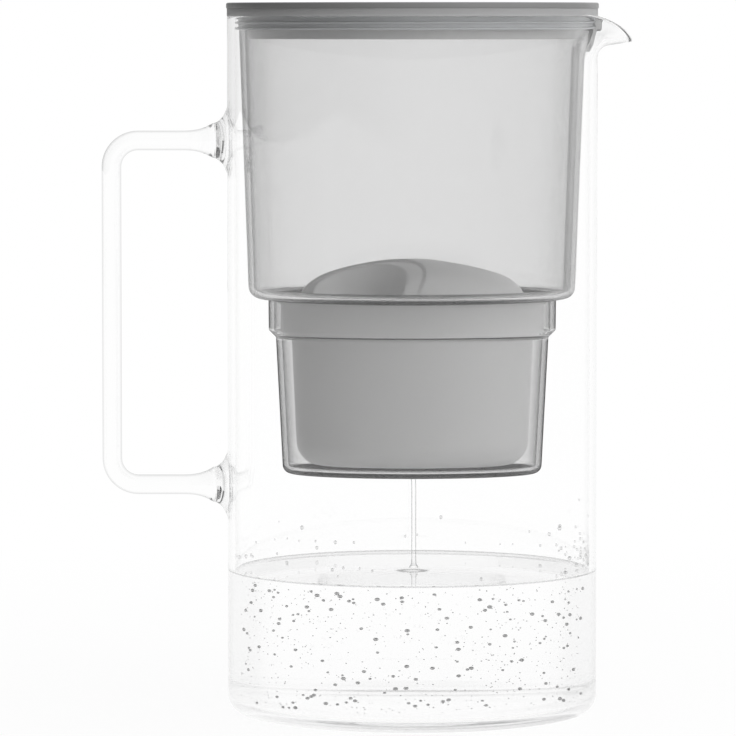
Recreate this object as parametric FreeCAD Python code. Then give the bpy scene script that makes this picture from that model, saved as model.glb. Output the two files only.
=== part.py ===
# Glass water filter pitcher, in millimetres, +Z up.
# The origin is the middle of the flat base. The spout points to +X and the handle to -X.
import FreeCAD, Part
import math
import os

V = FreeCAD.Vector

# Glass jug
jug_diameter = 132.0
jug_height = 250.0
glass_wall = 2.5
glass_floor = 5.0
heel_radius = 7.0
inner_heel_radius = 5.0

# Pouring spout: the top strip of the glass wall, bent outwards and drawn a little longer
spout_strip = 18.0
spout_upright = 2.0
spout_bend_radius = 5.75
spout_bend_deg = 82.0
spout_draw = 3.0
spout_half_span_deg = 32.0
spout_steps = 24

# Glass handle: an oval rod bent to a loop, its flared ends welded to bosses on the wall
handle_gap = 37.8
handle_thickness = 7.0
handle_width = 11.0
handle_top = 205.0
handle_bottom = 82.0
handle_bend_radius = 9.5
flare_length = 12.5
flare_place_shares = (0.0, 0.45, 0.8, 1.0)
flare_swell_shares = (0.0, 0.12, 0.5, 1.0)
weld_height = 14.5
weld_width = 14.0
weld_stand_off = 4.3
boss_height = 33.0
boss_width = 24.0
boss_root = 1.5
boss_place_shares = (0.0, 0.4, 0.75, 1.0)
boss_swell_shares = (0.0, 0.12, 0.45, 1.0)

# Clearances
lift_clearance = 0.3
fit_clearance = 0.1
cut_overrun = 1.0

# Funnel: a round hopper that hangs from the rim, with an oval socket below it
funnel_wall = 2.0
flange_inset = 0.4
flange_thickness = 2.0
flange_edge_radius = 0.5
collar_height = 6.4
hopper_gap = 2.3
hopper_draft_deg = 2.05
hopper_depth = 101.0
hopper_corner_radius = 4.3
channel_radius = 14.0
channel_depth = 3.0
key_width = 12.0
key_inset = 0.3
gusset_drop = 8.1
gusset_width = 9.0
socket_side_gap = 1.6
socket_mouth_depth = 11.5
socket_mouth_taper = 0.6
socket_ledge_width = 2.1
socket_step_height = 2.6
socket_depth = 62.8
socket_taper = 2.5
socket_corner_radius = 3.0
outlet_count = 4
outlet_pitch = 8.6
outlet_start = -2.0
outlet_length = 16.0
outlet_width = 4.0

# Funnel seal: a soft ring with lips between the collar and the glass
seal_base = 0.8
seal_lip_thickness = 0.9
seal_lip_count = 3
seal_height = 5.6

# Filter cartridge
collar_length = 95.6
collar_width = 58.0
cap_wall = 1.6
cap_plate = 1.6
skirt_height = 12.7
dome_length = 80.0
dome_width = 47.0
dome_height = 14.0
scoop_offset_x = 23.0
scoop_offset_y = 25.0
scoop_low_radius = 19.0
scoop_high_radius = 26.0
scoop_floor = 1.8
inlet_count = 20
inlet_length = 3.6
inlet_width = 1.0
cup_length = 87.0
cup_width = 53.8
cup_wall = 1.5
cup_draft_deg = 2.6
cup_corner_radius = 9.0
cup_floor_gap = 0.8
cup_slot_count = 5
cup_slot_length = 9.0
cup_slot_width = 1.2
cup_slot_pitch = 6.0
ring_height = 1.6
ring_depth = 0.8
screen_thickness = 0.6
screen_inset = 2.0
media_gap = 0.3
media_headroom = 3.0

# Lid
lid_overhang = 0.3
lid_thickness = 2.0
lid_edge_radius = 0.6
lid_skirt_drop = 8.8
lid_skirt_wall = 1.6
lid_foot_width = 2.6
lid_foot_thickness = 1.2

# Filter change indicator in the lid, on the handle side
indicator_offset = 36.0
pod_radius = 11.0
pod_wall = 1.2
pod_rim_width = 1.8
pod_rim_thickness = 1.2
pod_depth = 10.4
button_gap = 0.3
button_thickness = 1.6
button_travel = 0.6
button_bevel = 0.4
plunger_radius = 1.6
press_gap = 0.05
switch_side = 4.5
switch_height = 1.5
switch_tip_radius = 1.2
switch_tip_height = 0.5
board_thickness = 1.0
lamp_count = 3
lamp_spread_deg = 40.0
lamp_circle_radius = 6.4
lamp_length = 1.6
lamp_width = 1.2
lamp_height = 0.7
window_radius = 1.1
cell_radius = 6.25
cell_thickness = 1.6
cell_gap = 0.5
contact_thickness = 0.4
contact_width = 3.0
shelf_thickness = 1.6
door_thickness = 1.6
door_slot_width = 1.4
door_slot_depth = 0.7
door_slot_length = 9.0
door_ring_width = 1.0
door_ring_height = 0.7

# Worked out from the sizes above
jug_radius = jug_diameter / 2
jug_inner_radius = jug_radius - glass_wall
spout_bend = math.radians(spout_bend_deg)
spout_half_span = math.radians(spout_half_span_deg)
spout_foot = jug_height - spout_strip
bend_length = spout_bend_radius * spout_bend
lip_length = spout_strip - spout_upright - bend_length
weld_place = jug_radius + weld_stand_off
grip_centre = jug_radius + handle_gap + handle_thickness / 2

flange_radius = jug_radius - flange_inset
flange_top = jug_height + flange_thickness
collar_low = jug_height - collar_height
hopper_radius = jug_inner_radius - hopper_gap
hopper_slope = math.tan(math.radians(hopper_draft_deg))
hopper_low = jug_height - hopper_depth
hopper_floor = hopper_low + funnel_wall
socket_low = hopper_low - socket_depth
ledge_level = hopper_low - socket_mouth_depth - socket_step_height / 2

mouth_half_length = collar_length / 2 + socket_side_gap
mouth_half_width = collar_width / 2 + socket_side_gap
shaft_half_length = mouth_half_length - socket_mouth_taper - socket_ledge_width
foot_half_length = shaft_half_length - socket_taper

cap_top = ledge_level + skirt_height
cap_under = cap_top - cap_plate
cup_low = socket_low + funnel_wall + cup_floor_gap
cup_height = cap_under - cup_low
cup_slope = math.tan(math.radians(cup_draft_deg))
media_top = cap_under - media_headroom

lid_radius = jug_radius + lid_overhang
lid_low = flange_top
lid_top = lid_low + lid_thickness
skirt_low = jug_height - lid_skirt_drop
skirt_radius = hopper_radius - hopper_slope * (collar_low - skirt_low) - funnel_wall - lift_clearance

pod_inner_radius = pod_radius - pod_wall
pod_low = lid_top - pod_depth
button_radius = pod_inner_radius - button_gap
button_low = lid_top - button_thickness
door_radius = cell_radius + cell_gap + door_ring_width + door_ring_width
door_top = pod_low + door_thickness
cell_low = door_top + contact_thickness
shelf_low = door_top + door_ring_height
board_low = max(shelf_low + shelf_thickness, cell_low + cell_thickness + fit_clearance)
board_top = board_low + board_thickness
switch_top = board_top + switch_height + switch_tip_height
plunger_low = switch_top + button_travel + press_gap


def at(x, z):
    """A point in the XZ plane."""
    return V(x, 0, z)


def rounded_wire(corners):
    """Closed outline in the XZ plane through (x, z, radius) corners, with an arc where a radius is given."""
    stops = []
    for i, (x, z, radius) in enumerate(corners):
        here = at(x, z)
        back = (at(*corners[i - 1][:2]) - here).normalize()
        ahead = (at(*corners[(i + 1) % len(corners)][:2]) - here).normalize()
        if radius == 0:
            stops.append((here, here, here))
            continue
        half_turn = back.getAngle(ahead) / 2
        reach = radius / math.tan(half_turn)
        inward = (back + ahead).normalize()
        middle = here + inward * (radius / math.sin(half_turn) - radius)
        stops.append((here + back * reach, middle, here + ahead * reach))
    edges = []
    for i, (start, middle, end) in enumerate(stops):
        if start.distanceToPoint(end) > 0:
            edges.append(Part.Arc(start, middle, end).toShape())
        following = stops[(i + 1) % len(stops)][0]
        edges.append(Part.LineSegment(end, following).toShape())
    return Part.Wire(edges)


def spin(corners):
    """Solid of revolution about Z of an outline in the XZ plane."""
    return Part.Face(rounded_wire(corners)).revolve(V(0, 0, 0), V(0, 0, 1), 360)


def stretched(shape, x_factor, y_factor, z_factor):
    """The shape scaled along the three axes."""
    matrix = FreeCAD.Matrix()
    matrix.scale(V(x_factor, y_factor, z_factor))
    return shape.transformGeometry(matrix)


def spin_oval(corners, half_length, half_width):
    """Solid of revolution drawn at its half length in X and narrowed in Y to its half width."""
    return stretched(spin(corners), 1, half_width / half_length, 1)


def disc(radius, low, high, x=0):
    """Upright cylinder between two levels."""
    return Part.makeCylinder(radius, high - low, at(x, low))


def tube(outer, inner, low, high, x=0):
    """Upright ring between two levels."""
    return disc(outer, low, high, x).cut(disc(inner, low, high, x))


def block(length, width, low, high, x=0, y=0):
    """Upright box about a middle line, between two levels."""
    return Part.makeBox(length, width, high - low, V(x - length / 2, y - width / 2, low))


def oval_plate(half_length, half_width, low, high):
    """Flat oval plate between two levels."""
    plate = stretched(Part.makeCylinder(1, 1), half_length, half_width, high - low)
    plate.translate(at(0, low))
    return plate


def oval_section(half_width, half_height, place):
    """Oval outline square to X, for the handle and its bosses."""
    edge = stretched(Part.makeCircle(1, V(0, 0, 0), V(1, 0, 0)), 1, half_width, half_height)
    edge.translate(place)
    return Part.Wire([edge])


def trumpet(start, end, level, small, large, place_shares, swell_shares):
    """Loft along X that swells from a small oval to a large one. Sizes are (width, height)."""
    sections = []
    for place_share, swell_share in zip(place_shares, swell_shares):
        width = small[0] + (large[0] - small[0]) * swell_share
        height = small[1] + (large[1] - small[1]) * swell_share
        x = start + (end - start) * place_share
        sections.append(oval_section(width / 2, height / 2, at(x, level)))
    return Part.makeLoft(sections, True)


def strip_point(angle, along, outward):
    """Point of the spout: an angle from its middle, a way up the strip and a way out from its mid wall."""
    bend_share = math.cos(angle / spout_half_span * math.pi / 2) ** 4
    bend = spout_bend * bend_share
    turned = min(max(along - spout_upright, 0), bend_length)
    tilt = bend * turned / bend_length
    drawn = spout_draw * bend_share**2 - glass_wall / 2 * math.sin(bend)
    lip = max(along - spout_upright - bend_length, 0) * (1 + drawn / lip_length)
    turn_radius = bend_length / bend
    radius = jug_radius - glass_wall / 2 + turn_radius * (1 - math.cos(tilt)) + lip * math.sin(bend)
    level = spout_foot + min(along, spout_upright) + turn_radius * math.sin(tilt) + lip * math.cos(bend)
    radius += outward * math.cos(tilt)
    level -= outward * math.sin(tilt)
    return V(radius * math.cos(angle), radius * math.sin(angle), level)


def spout_skin(outward):
    """Smooth surface of half the spout, on one side of the glass."""
    rows = []
    for i in range(spout_steps + 1):
        angle = spout_half_span * i / spout_steps
        steps = range(spout_steps + 1)
        rows.append([strip_point(angle, spout_strip * j / spout_steps, outward) for j in steps])
    skin = Part.BSplineSurface()
    skin.interpolate(rows)
    return skin


def spout_half():
    """Half of the spout, from its middle plane to where it has eased back into the round wall."""
    outer = spout_skin(glass_wall / 2)
    inner = spout_skin(-glass_wall / 2)
    faces = [outer.toShape(), inner.toShape()]
    for side in (0, 1):
        around = [outer.vIso(side).toShape(), inner.vIso(side).toShape()]
        upwards = [outer.uIso(side).toShape(), inner.uIso(side).toShape()]
        faces.append(Part.makeRuledSurface(*around))
        faces.append(Part.makeRuledSurface(*upwards))
    shell = Part.Shell(faces)
    shell.sewShape()
    solid = Part.Solid(shell)
    if solid.Volume < 0:
        solid.reverse()
    return solid


def handle_boss(level):
    """Glass drawn out of the wall to meet the handle."""
    weld = (weld_width, weld_height)
    root = (boss_width, boss_height)
    end = boss_root - jug_radius
    return trumpet(-weld_place, end, level, weld, root, boss_place_shares, boss_swell_shares)


def glass_jug():
    """Round jug with a flat base, a pulled spout and two bosses for the handle."""
    wall = spin([
        (0, 0, 0),
        (jug_radius, 0, heel_radius),
        (jug_radius, jug_height, 0),
        (jug_inner_radius, jug_height, 0),
        (jug_inner_radius, glass_floor, inner_heel_radius),
        (0, glass_floor, 0),
    ])
    window_radius_out = jug_radius + cut_overrun
    window_height = spout_strip + cut_overrun
    span_deg = 2 * spout_half_span_deg
    window = Part.makeCylinder(window_radius_out, window_height, at(0, spout_foot), V(0, 0, 1), span_deg)
    window.rotate(V(0, 0, 0), V(0, 0, 1), -spout_half_span_deg)
    near_half = spout_half()
    far_half = near_half.mirror(V(0, 0, 0), V(0, 1, 0))
    bosses = [handle_boss(handle_top), handle_boss(handle_bottom)]
    return wall.cut(window).multiFuse([near_half, far_half] + bosses).removeSplitter()


def glass_handle():
    """Loop of oval rod with a flared end at each boss."""
    rod = (handle_width, handle_thickness)
    weld = (weld_width, weld_height)
    flare_start = weld_place + flare_length
    bend_start = grip_centre - handle_bend_radius
    inset = handle_bend_radius * (1 - math.sqrt(1 / 2))
    corner = inset - grip_centre
    arm = [at(-flare_start, handle_top), at(-bend_start, handle_top)]
    turns = (handle_top - handle_bend_radius, handle_bottom + handle_bend_radius)
    grip = [at(-grip_centre, level) for level in turns]
    foot = [at(-bend_start, handle_bottom), at(-flare_start, handle_bottom)]
    path = Part.Wire([
        Part.LineSegment(*arm).toShape(),
        Part.Arc(arm[1], at(corner, handle_top - inset), grip[0]).toShape(),
        Part.LineSegment(*grip).toShape(),
        Part.Arc(grip[1], at(corner, handle_bottom + inset), foot[0]).toShape(),
        Part.LineSegment(*foot).toShape(),
    ])
    section = oval_section(rod[0] / 2, rod[1] / 2, at(-flare_start, handle_top))
    loop = path.makePipeShell([section], True, False)
    shares = (flare_place_shares, flare_swell_shares)
    ends = [trumpet(-flare_start, -weld_place, z, rod, weld, *shares) for z in (handle_top, handle_bottom)]
    return loop.multiFuse(ends)


def hopper_solid(inset, low, corner_radius):
    """Filled hopper, drawn in from the outer face by an inset and closed at a level."""
    top_radius = hopper_radius - inset
    low_radius = top_radius - hopper_slope * (collar_low - low)
    return spin([
        (0, low, 0),
        (low_radius, low, corner_radius),
        (top_radius, collar_low, 0),
        (top_radius, flange_top, 0),
        (0, flange_top, 0),
    ])


def channel_solid(growth):
    """Slanted round bar that hollows the hopper on the spout side."""
    top = collar_low - gusset_drop
    low = socket_low
    sections = []
    for level in (low, top + growth):
        face = hopper_radius - hopper_slope * (collar_low - level)
        centre = face - channel_depth + channel_radius
        sections.append(Part.Wire([Part.makeCircle(channel_radius + growth, at(centre, level))]))
    return Part.makeLoft(sections, True, True)


def socket_solid(inset, low, corner_radius, step_high, step_low, top):
    """Filled oval socket, drawn in from the outer face by an inset."""
    growth = funnel_wall - inset
    mouth = mouth_half_length + growth
    corners = [
        (0, low, 0),
        (foot_half_length + growth, low, corner_radius),
        (shaft_half_length + growth, step_low, 0),
        (mouth - socket_mouth_taper, step_high, 0),
        (mouth, hopper_low, 0),
        (mouth, top, 0),
        (0, top, 0),
    ]
    return spin_oval(corners, mouth, mouth_half_width + growth)


def spout_key():
    """Tongue on the collar that points into the spout, with a gusset below it."""
    reach = jug_radius - key_inset
    root = hopper_radius - funnel_wall / 2
    tongue = block(reach - root, key_width, collar_low, jug_height, (reach + root) / 2)
    gusset_low = collar_low - gusset_drop
    edge = Part.makePolygon([
        at(root, collar_low),
        at(jug_inner_radius, collar_low),
        at(hopper_radius, gusset_low),
        at(root, gusset_low),
        at(root, collar_low),
    ])
    gusset = Part.Face(edge).extrude(V(0, gusset_width, 0))
    gusset.translate(V(0, -gusset_width / 2, 0))
    return tongue.fuse(gusset)


def funnel():
    """Clear tinted funnel: flange, hopper, pouring channel and cartridge socket with its outlets."""
    step_middle = ledge_level
    step_high = step_middle + socket_step_height / 2
    step_low = step_middle - socket_step_height / 2
    body = hopper_solid(0, hopper_low, hopper_corner_radius).cut(channel_solid(0))
    body = body.fuse(socket_solid(0, socket_low, socket_corner_radius, step_high, step_low, hopper_floor))
    flange = spin([
        (0, jug_height, 0),
        (flange_radius, jug_height, flange_edge_radius),
        (flange_radius, flange_top, flange_edge_radius),
        (0, flange_top, 0),
    ])
    body = body.multiFuse([flange, spout_key()])
    inner_corner = hopper_corner_radius - funnel_wall
    hollow = hopper_solid(funnel_wall, hopper_floor, inner_corner).cut(channel_solid(funnel_wall))
    floor = socket_low + funnel_wall
    well_corner = socket_corner_radius - funnel_wall
    well = socket_solid(funnel_wall, floor, well_corner, ledge_level, ledge_level, hopper_floor + cut_overrun)
    body = body.cut(hollow).cut(well)
    for i in range(outlet_count):
        x = outlet_start + outlet_pitch * i
        body = body.cut(block(outlet_width, outlet_length, socket_low - cut_overrun, floor + cut_overrun, x))
    return body


def funnel_seal():
    """Soft ring on the collar, with lips that reach towards the glass and a gap for the spout key."""
    lip_radius = jug_inner_radius - lift_clearance
    low = jug_height - seal_height
    ring = tube(hopper_radius + seal_base, hopper_radius, low, jug_height)
    pitch = (seal_height - seal_lip_thickness) / seal_lip_count
    for i in range(seal_lip_count):
        lip_low = low + pitch * i
        ring = ring.fuse(tube(lip_radius, hopper_radius, lip_low, lip_low + seal_lip_thickness))
    gap = block(jug_radius, key_width + 2 * fit_clearance, low - cut_overrun, flange_top, jug_radius)
    return ring.cut(gap)


def scoops(growth):
    """The two finger scoops beside the cartridge's grip, grown by a wall for its inner face."""
    floor = cap_top + scoop_floor - growth
    both = []
    for side in (-1, 1):
        centre = V(side * scoop_offset_x, side * scoop_offset_y, floor)
        both.append(Part.makeCone(scoop_low_radius + growth, scoop_high_radius + growth, dome_height, centre))
    return both


def dome_solid(inset):
    """Filled half ellipsoid of the cap, drawn in by an inset."""
    half = Part.makeSphere(1, V(0, 0, 0), V(0, 0, 1), 0, 90, 360)
    dome = stretched(half, dome_length / 2 - inset, dome_width / 2 - inset, dome_height - inset)
    dome.translate(at(0, cap_top))
    return dome


def cartridge_cap():
    """Cap with a domed grip, inlets round the dome and a skirt that stands on the socket's ledge."""
    half_length = collar_length / 2
    half_width = collar_width / 2
    cap = oval_plate(half_length, half_width, ledge_level, cap_top)
    cap = cap.cut(oval_plate(half_length - cap_wall, half_width - cap_wall, ledge_level, cap_under))
    cap = cap.fuse(dome_solid(0))
    for scoop in scoops(0):
        cap = cap.cut(scoop)
    hollow = dome_solid(cap_plate)
    for scoop in scoops(cap_plate):
        hollow = hollow.cut(scoop)
    cap = cap.cut(hollow)
    groove = oval_plate(half_length, half_width, cap_top - ring_height, cap_top)
    core = oval_plate(half_length - ring_depth, half_width - ring_depth, cap_top - ring_height, cap_top)
    cap = cap.cut(groove.cut(core))
    for i in range(inlet_count):
        angle = 2 * math.pi * (i + 1 / 2) / inlet_count
        x = (half_length + dome_length / 2 - cap_wall) / 2 * math.cos(angle)
        y = (half_width + dome_width / 2 - cap_wall) / 2 * math.sin(angle)
        inlet = block(inlet_length, inlet_width, cap_under - cut_overrun, cap_top + cut_overrun, x, y)
        facing = math.degrees(math.atan2(y * half_length, x * half_width))
        inlet.rotate(V(x, y, 0), V(0, 0, 1), facing)
        cap = cap.cut(inlet)
    return cap


def cartridge_seal():
    """Dark soft ring in the groove at the top of the cap's skirt, facing the socket's mouth."""
    half_length = collar_length / 2
    half_width = collar_width / 2
    grip = socket_side_gap - lift_clearance - socket_mouth_taper
    outer = oval_plate(half_length + grip, half_width + grip, cap_top - ring_height, cap_top)
    inner = oval_plate(half_length - ring_depth, half_width - ring_depth, cap_top - ring_height, cap_top)
    return outer.cut(inner)


def cup_solid(inset, low, high):
    """Filled cup, drawn in from the outer face by an inset and closed at two levels."""
    half_length = cup_length / 2 - inset
    low_length = half_length - cup_slope * (cap_under - low)
    high_length = half_length - cup_slope * (cap_under - high)
    corners = [
        (0, low, 0),
        (low_length, low, cup_corner_radius - inset),
        (high_length, high, 0),
        (0, high, 0),
    ]
    return spin_oval(corners, half_length, cup_width / 2 - inset)


def cartridge_cup():
    """Tapered oval cup below the cap, with outlet slots in its floor."""
    cup = cup_solid(0, cup_low, cap_under).cut(cup_solid(cup_wall, cup_low + cup_wall, cap_under))
    first = -cup_slot_pitch * (cup_slot_count - 1) / 2
    for i in range(cup_slot_count):
        x = first + cup_slot_pitch * i
        slot_top = cup_low + cup_wall + cut_overrun
        cup = cup.cut(block(cup_slot_width, cup_slot_length, cup_low - cut_overrun, slot_top, x))
    return cup


def lower_screen():
    """Fine sheet on the floor of the cup that keeps the granules in."""
    low = cup_low + cup_wall
    half_length = cup_length / 2 - cup_slope * cup_height - cup_corner_radius - screen_inset
    half_width = half_length * cup_width / cup_length
    return oval_plate(half_length, half_width, low, low + screen_thickness)


def filter_media():
    """Bed of granules that fills the cup between the two screens."""
    low = cup_low + cup_wall + screen_thickness
    return cup_solid(cup_wall + media_gap, low, media_top)


def upper_screen():
    """Fine sheet on top of the granules."""
    inset = cup_wall + media_gap + cup_slope * (cap_under - media_top)
    half_length = cup_length / 2 - inset
    half_width = cup_width / 2 - inset
    return oval_plate(half_length, half_width, media_top, media_top + screen_thickness)


def lid_cover():
    """Flat round lid that lies on the funnel's flange, with a hole for the indicator."""
    plate = spin([
        (0, lid_low, 0),
        (lid_radius, lid_low, lid_edge_radius),
        (lid_radius, lid_top, lid_edge_radius),
        (0, lid_top, 0),
    ])
    return plate.cut(disc(pod_radius, lid_low, lid_top, -indicator_offset))


def lid_skirt():
    """Ring under the lid that dips into the hopper and keeps the lid in place."""
    foot_radius = skirt_radius - lid_skirt_wall - lid_foot_width
    ring = tube(skirt_radius, skirt_radius - lid_skirt_wall, skirt_low, lid_low)
    return ring.fuse(tube(skirt_radius, foot_radius, lid_low - lid_foot_thickness, lid_low))


def indicator_pod():
    """Cup that holds the indicator, with a rim under the lid and a shelf for the board."""
    x = -indicator_offset
    pod = tube(pod_radius, pod_inner_radius, pod_low, lid_top, x)
    rim = tube(pod_radius + pod_rim_width, pod_inner_radius, lid_low - pod_rim_thickness, lid_low, x)
    shelf = tube(pod_radius, cell_radius + cell_gap, shelf_low, board_low, x)
    floor = tube(pod_radius, door_radius + fit_clearance, pod_low, shelf_low, x)
    return pod.multiFuse([rim, shelf, floor])


def battery_door():
    """Round door in the foot of the pod, with a slot for a coin."""
    x = -indicator_offset
    door = disc(door_radius, pod_low, door_top, x)
    return door.cut(block(door_slot_length, door_slot_width, pod_low, pod_low + door_slot_depth, x))


def door_ring():
    """Soft ring between the battery door and the pod."""
    return tube(door_radius, door_radius - door_ring_width, door_top, shelf_low, -indicator_offset)


def battery_contact():
    """Springy strip on the door, under the cell."""
    strip = block(2 * cell_radius, contact_width, door_top, cell_low, -indicator_offset)
    return strip.common(disc(cell_radius, door_top, cell_low, -indicator_offset))


def coin_cell():
    """Coin cell that runs the indicator."""
    return disc(cell_radius, cell_low, cell_low + cell_thickness, -indicator_offset)


def circuit_board():
    """Round board on the shelf of the pod."""
    return disc(pod_inner_radius - fit_clearance, board_low, board_top, -indicator_offset)


def button_switch():
    """Small push switch in the middle of the board."""
    x = -indicator_offset
    case = block(switch_side, switch_side, board_top, board_top + switch_height, x)
    return case.fuse(disc(switch_tip_radius, board_top + switch_height, switch_top, x))


def lamp_places():
    """Middles of the indicator's lamps, on an arc on the handle side."""
    step = math.radians(lamp_spread_deg)
    first = math.pi - step * (lamp_count - 1) / 2
    centre = V(-indicator_offset, 0, 0)
    angles = [first + step * i for i in range(lamp_count)]
    return [centre + V(math.cos(a), math.sin(a), 0) * lamp_circle_radius for a in angles]


def indicator_lamps():
    """Small lamps on the board, one under each window."""
    high = board_top + lamp_height
    places = lamp_places()
    return Part.makeCompound([block(lamp_length, lamp_width, board_top, high, p.x, p.y) for p in places])


def window_solids():
    """Clear plugs through the button, one above each lamp."""
    height = button_thickness
    return [Part.makeCylinder(window_radius, height, V(p.x, p.y, button_low)) for p in lamp_places()]


def indicator_button():
    """Round button, flush with the lid, with a plunger over the switch."""
    x = -indicator_offset
    cap = spin([
        (0, button_low, 0),
        (button_radius, button_low, 0),
        (button_radius, lid_top, button_bevel),
        (0, lid_top, 0),
    ])
    cap.translate(at(x, 0))
    cap = cap.fuse(disc(plunger_radius, plunger_low, button_low, x))
    for window in window_solids():
        cap = cap.cut(window)
    return cap


def indicator_windows():
    """The clear plugs, set into the button."""
    return Part.makeCompound(window_solids())


pieces = [
    glass_jug,
    glass_handle,
    funnel,
    funnel_seal,
    cartridge_cap,
    cartridge_seal,
    cartridge_cup,
    lower_screen,
    filter_media,
    upper_screen,
    lid_cover,
    lid_skirt,
    indicator_pod,
    battery_door,
    door_ring,
    battery_contact,
    coin_cell,
    circuit_board,
    button_switch,
    indicator_lamps,
    indicator_button,
    indicator_windows,
]

os.makedirs("parts", exist_ok=True)
for piece in pieces:
    piece().exportStep("parts/" + piece.__name__ + ".step")
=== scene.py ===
# %% [markdown]
# A glass water filter pitcher
#
# The pitcher is a clear glass jug with a grey-tinted hopper hung in its mouth, a filter cartridge in the
# hopper's socket and a flat grey lid. Every piece here is a surface worked out with numpy, in the same
# frame as the solids: millimetres in the formulas, metres in the meshes, +X towards the spout, +Z up.

# %% Load the solids that carry everything
import bpy
import numpy as np
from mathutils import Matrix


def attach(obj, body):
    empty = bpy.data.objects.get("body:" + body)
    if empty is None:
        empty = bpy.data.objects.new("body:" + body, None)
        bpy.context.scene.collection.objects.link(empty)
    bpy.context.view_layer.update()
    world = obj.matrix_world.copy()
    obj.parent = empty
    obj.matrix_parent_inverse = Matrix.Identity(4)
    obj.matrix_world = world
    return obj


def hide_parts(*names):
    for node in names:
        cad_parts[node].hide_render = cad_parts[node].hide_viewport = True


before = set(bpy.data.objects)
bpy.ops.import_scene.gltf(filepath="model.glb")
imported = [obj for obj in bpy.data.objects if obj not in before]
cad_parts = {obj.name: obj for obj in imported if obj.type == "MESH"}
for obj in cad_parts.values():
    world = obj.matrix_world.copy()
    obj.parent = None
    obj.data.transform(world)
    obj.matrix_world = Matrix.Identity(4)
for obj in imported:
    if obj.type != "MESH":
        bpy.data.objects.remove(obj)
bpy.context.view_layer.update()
MM = 0.001
FULL_TURN = 2 * np.pi
WHITE = (1.0, 1.0, 1.0)
scene = bpy.context.scene

# %% [markdown]
# From a grid of points to a skin
#
# Blown glass and moulded plastic are smooth all over, so each piece is a grid of points: rings that follow
# one another along a profile. The grid could be built face by face in a loop, but numpy can make all the
# face corners at once by shifting a table of point numbers one step round and one step along.


# %% Make a closed skin from rings
def new_piece(name, points, faces):
    """An object at the origin from points in millimetres and lists of point numbers."""
    mesh = bpy.data.meshes.new(name)
    mesh.from_pydata((points * MM).tolist(), [], faces)
    piece = bpy.data.objects.new(name, mesh)
    scene.collection.objects.link(piece)
    return piece


def smooth(piece, sharp):
    """Shades every face smoothly, but keeps edges that fold by more than sharp degrees crisp."""
    mesh = piece.data
    mesh.polygons.foreach_set("use_smooth", np.ones(len(mesh.polygons), bool))
    mesh.set_sharp_from_angle(angle=np.radians(sharp))
    mesh.update()


def skin(name, rings, loop=False, low_pole=None, high_pole=None, sharp=35):
    """Joins ring i to ring i + 1 with four-sided faces, each ring closed on itself.

    With loop the last ring also joins the first, as round a torus. A pole is one point that a fan of
    triangles joins to the end ring. The enclosed volume is the sum of the corner products of all the
    triangles over six, and if it comes out negative the faces point inwards and are all turned over.
    """
    count, around = rings.shape[:2]
    number = np.arange(count * around).reshape(count, around)
    lower = number if loop else number[:-1]
    upper = np.roll(number, -1, 0) if loop else number[1:]
    quads = np.stack([lower, np.roll(lower, -1, 1), np.roll(upper, -1, 1), upper], -1).reshape(-1, 4)
    points = rings.reshape(-1, 3)
    fans = np.zeros((0, 3), int)
    for ring, pole, order in ((number[0], low_pole, -1), (number[-1], high_pole, 1)):
        if pole is not None:
            edge = np.stack([ring, np.roll(ring, -1)], -1)[:, ::order]
            tip = np.full((around, 1), len(points))
            fans = np.concatenate([fans, np.concatenate([edge, tip], 1)])
            points = np.concatenate([points, np.reshape(pole, (1, 3))])
    corner = points[np.concatenate([quads[:, [0, 1, 2]], quads[:, [0, 2, 3]], fans])]
    volume = np.einsum("ij,ij->", corner[:, 0], np.cross(corner[:, 1], corner[:, 2])) / 6
    if volume < 0:
        quads, fans = quads[:, ::-1], fans[:, ::-1]
    piece = new_piece(name, points, quads.tolist() + fans.tolist())
    smooth(piece, sharp)
    print(f"{name}: {len(quads) * 2 + len(fans)} triangles, {abs(volume) / 1000:.2f} cm3")
    return piece


# %% [markdown]
# Profiles with rounded corners
#
# A mould maker draws a section as straight lines and then rounds each corner with a small radius. Doing the
# same here keeps highlights on the edges, which a hard corner never shows. One helper rounds the corners,
# one crowds the steps of a grid where the shape changes fast, so that the rest can stay coarse, and two
# carry a section round an oval or a circle.


# %% Round the corners of a profile and carry it round
def rounded(corners, radii, runs, arc=6):
    """A line through the corners, each replaced by an arc of its radius.

    The arc touches the two straights at radius / tan(half the corner's angle) from the corner, and its centre
    lies on the corner's middle line. Between two arcs, runs gives the number of extra points on the straight.
    """
    corners = np.array(corners, float)
    before = corners[:-2] - corners[1:-1]
    after = corners[2:] - corners[1:-1]
    before /= np.linalg.norm(before, axis=1, keepdims=True)
    after /= np.linalg.norm(after, axis=1, keepdims=True)
    half = np.arccos(np.clip((before * after).sum(1), -1, 1)) / 2
    radius = np.array(radii, float)
    reach = (radius / np.tan(half))[:, None]
    middle = before + after
    middle /= np.linalg.norm(middle, axis=1, keepdims=True)
    centre = corners[1:-1] + middle * (radius / np.sin(half))[:, None]
    start = corners[1:-1] + before * reach - centre
    end = corners[1:-1] + after * reach - centre
    sweep = (np.pi - 2 * half)[:, None, None]
    step = np.linspace(0, 1, arc + 1)[None, :, None]
    arcs = (np.sin((1 - step) * sweep) * start[:, None] + np.sin(step * sweep) * end[:, None]) / np.sin(sweep)
    arcs = arcs + centre[:, None]
    first = np.concatenate([corners[:1], arcs[:, -1]])
    last = np.concatenate([arcs[:, 0], corners[-1:]])
    parts = [corners[:1]]
    for i, extra in enumerate(runs):
        parts.append(first[i] + (last[i] - first[i]) * np.linspace(0, 1, extra + 2)[1:-1, None])
        parts.append(arcs[i] if i < len(arcs) else corners[-1:])
    return np.concatenate(parts)


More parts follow.
